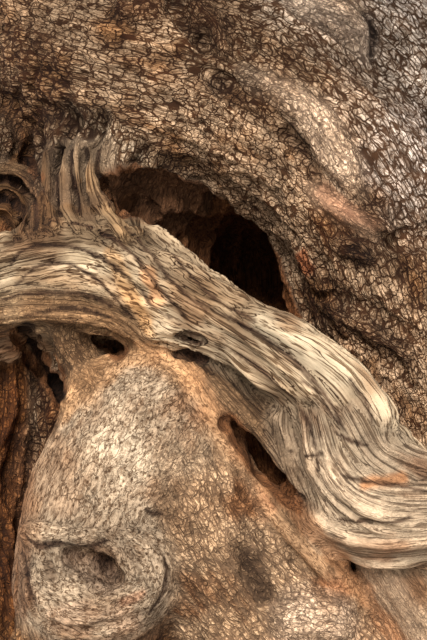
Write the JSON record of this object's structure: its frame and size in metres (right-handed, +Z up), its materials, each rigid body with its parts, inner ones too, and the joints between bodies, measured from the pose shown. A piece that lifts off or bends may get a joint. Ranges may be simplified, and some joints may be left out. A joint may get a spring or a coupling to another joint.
{
  "type": "olive tree",
  "caption": "Ancient rooted olive tree with a hollow, gnarled trunk of grown-together strands, crooked boughs and masses of narrow leaves.",
  "frame": {"origin": "on the flat cut under the trunk, at ground level, near the middle of the trunk", "axes": "+Z up; front, with the hollow and the weathered strand, towards -Y; +X to the right seen from the front"},
  "size_m": [5.7356, 5.958, 5.8864],
  "materials": {
    "bark": "matte, fissured",
    "bare_wood": "matte, weathered grain",
    "burl_bark": "matte, finely pitted",
    "leaves": "satin"
  },
  "bodies": {
    "root": {"trunk": "bark", "weathered_strand": "bare_wood", "lower_band": "bark", "burl": "burl_bark", "bough_1": "bark", "bough_2": "bark", "bough_3": "bark", "bough_4": "bark", "bough_5": "bark", "bough_6": "bark", "upper_bough_1": "bark", "upper_bough_2": "bark", "upper_bough_3": "bark", "upper_bough_4": "bark", "upper_bough_5": "bark", "upper_bough_6": "bark", "foliage_1": "leaves", "foliage_2": "leaves", "foliage_3": "leaves", "foliage_4": "leaves", "foliage_5": "leaves", "foliage_6": "leaves", "foliage_7": "leaves", "foliage_8": "leaves", "foliage_9": "leaves", "foliage_10": "leaves", "foliage_11": "leaves", "foliage_12": "leaves"}
  },
  "joints": []
}
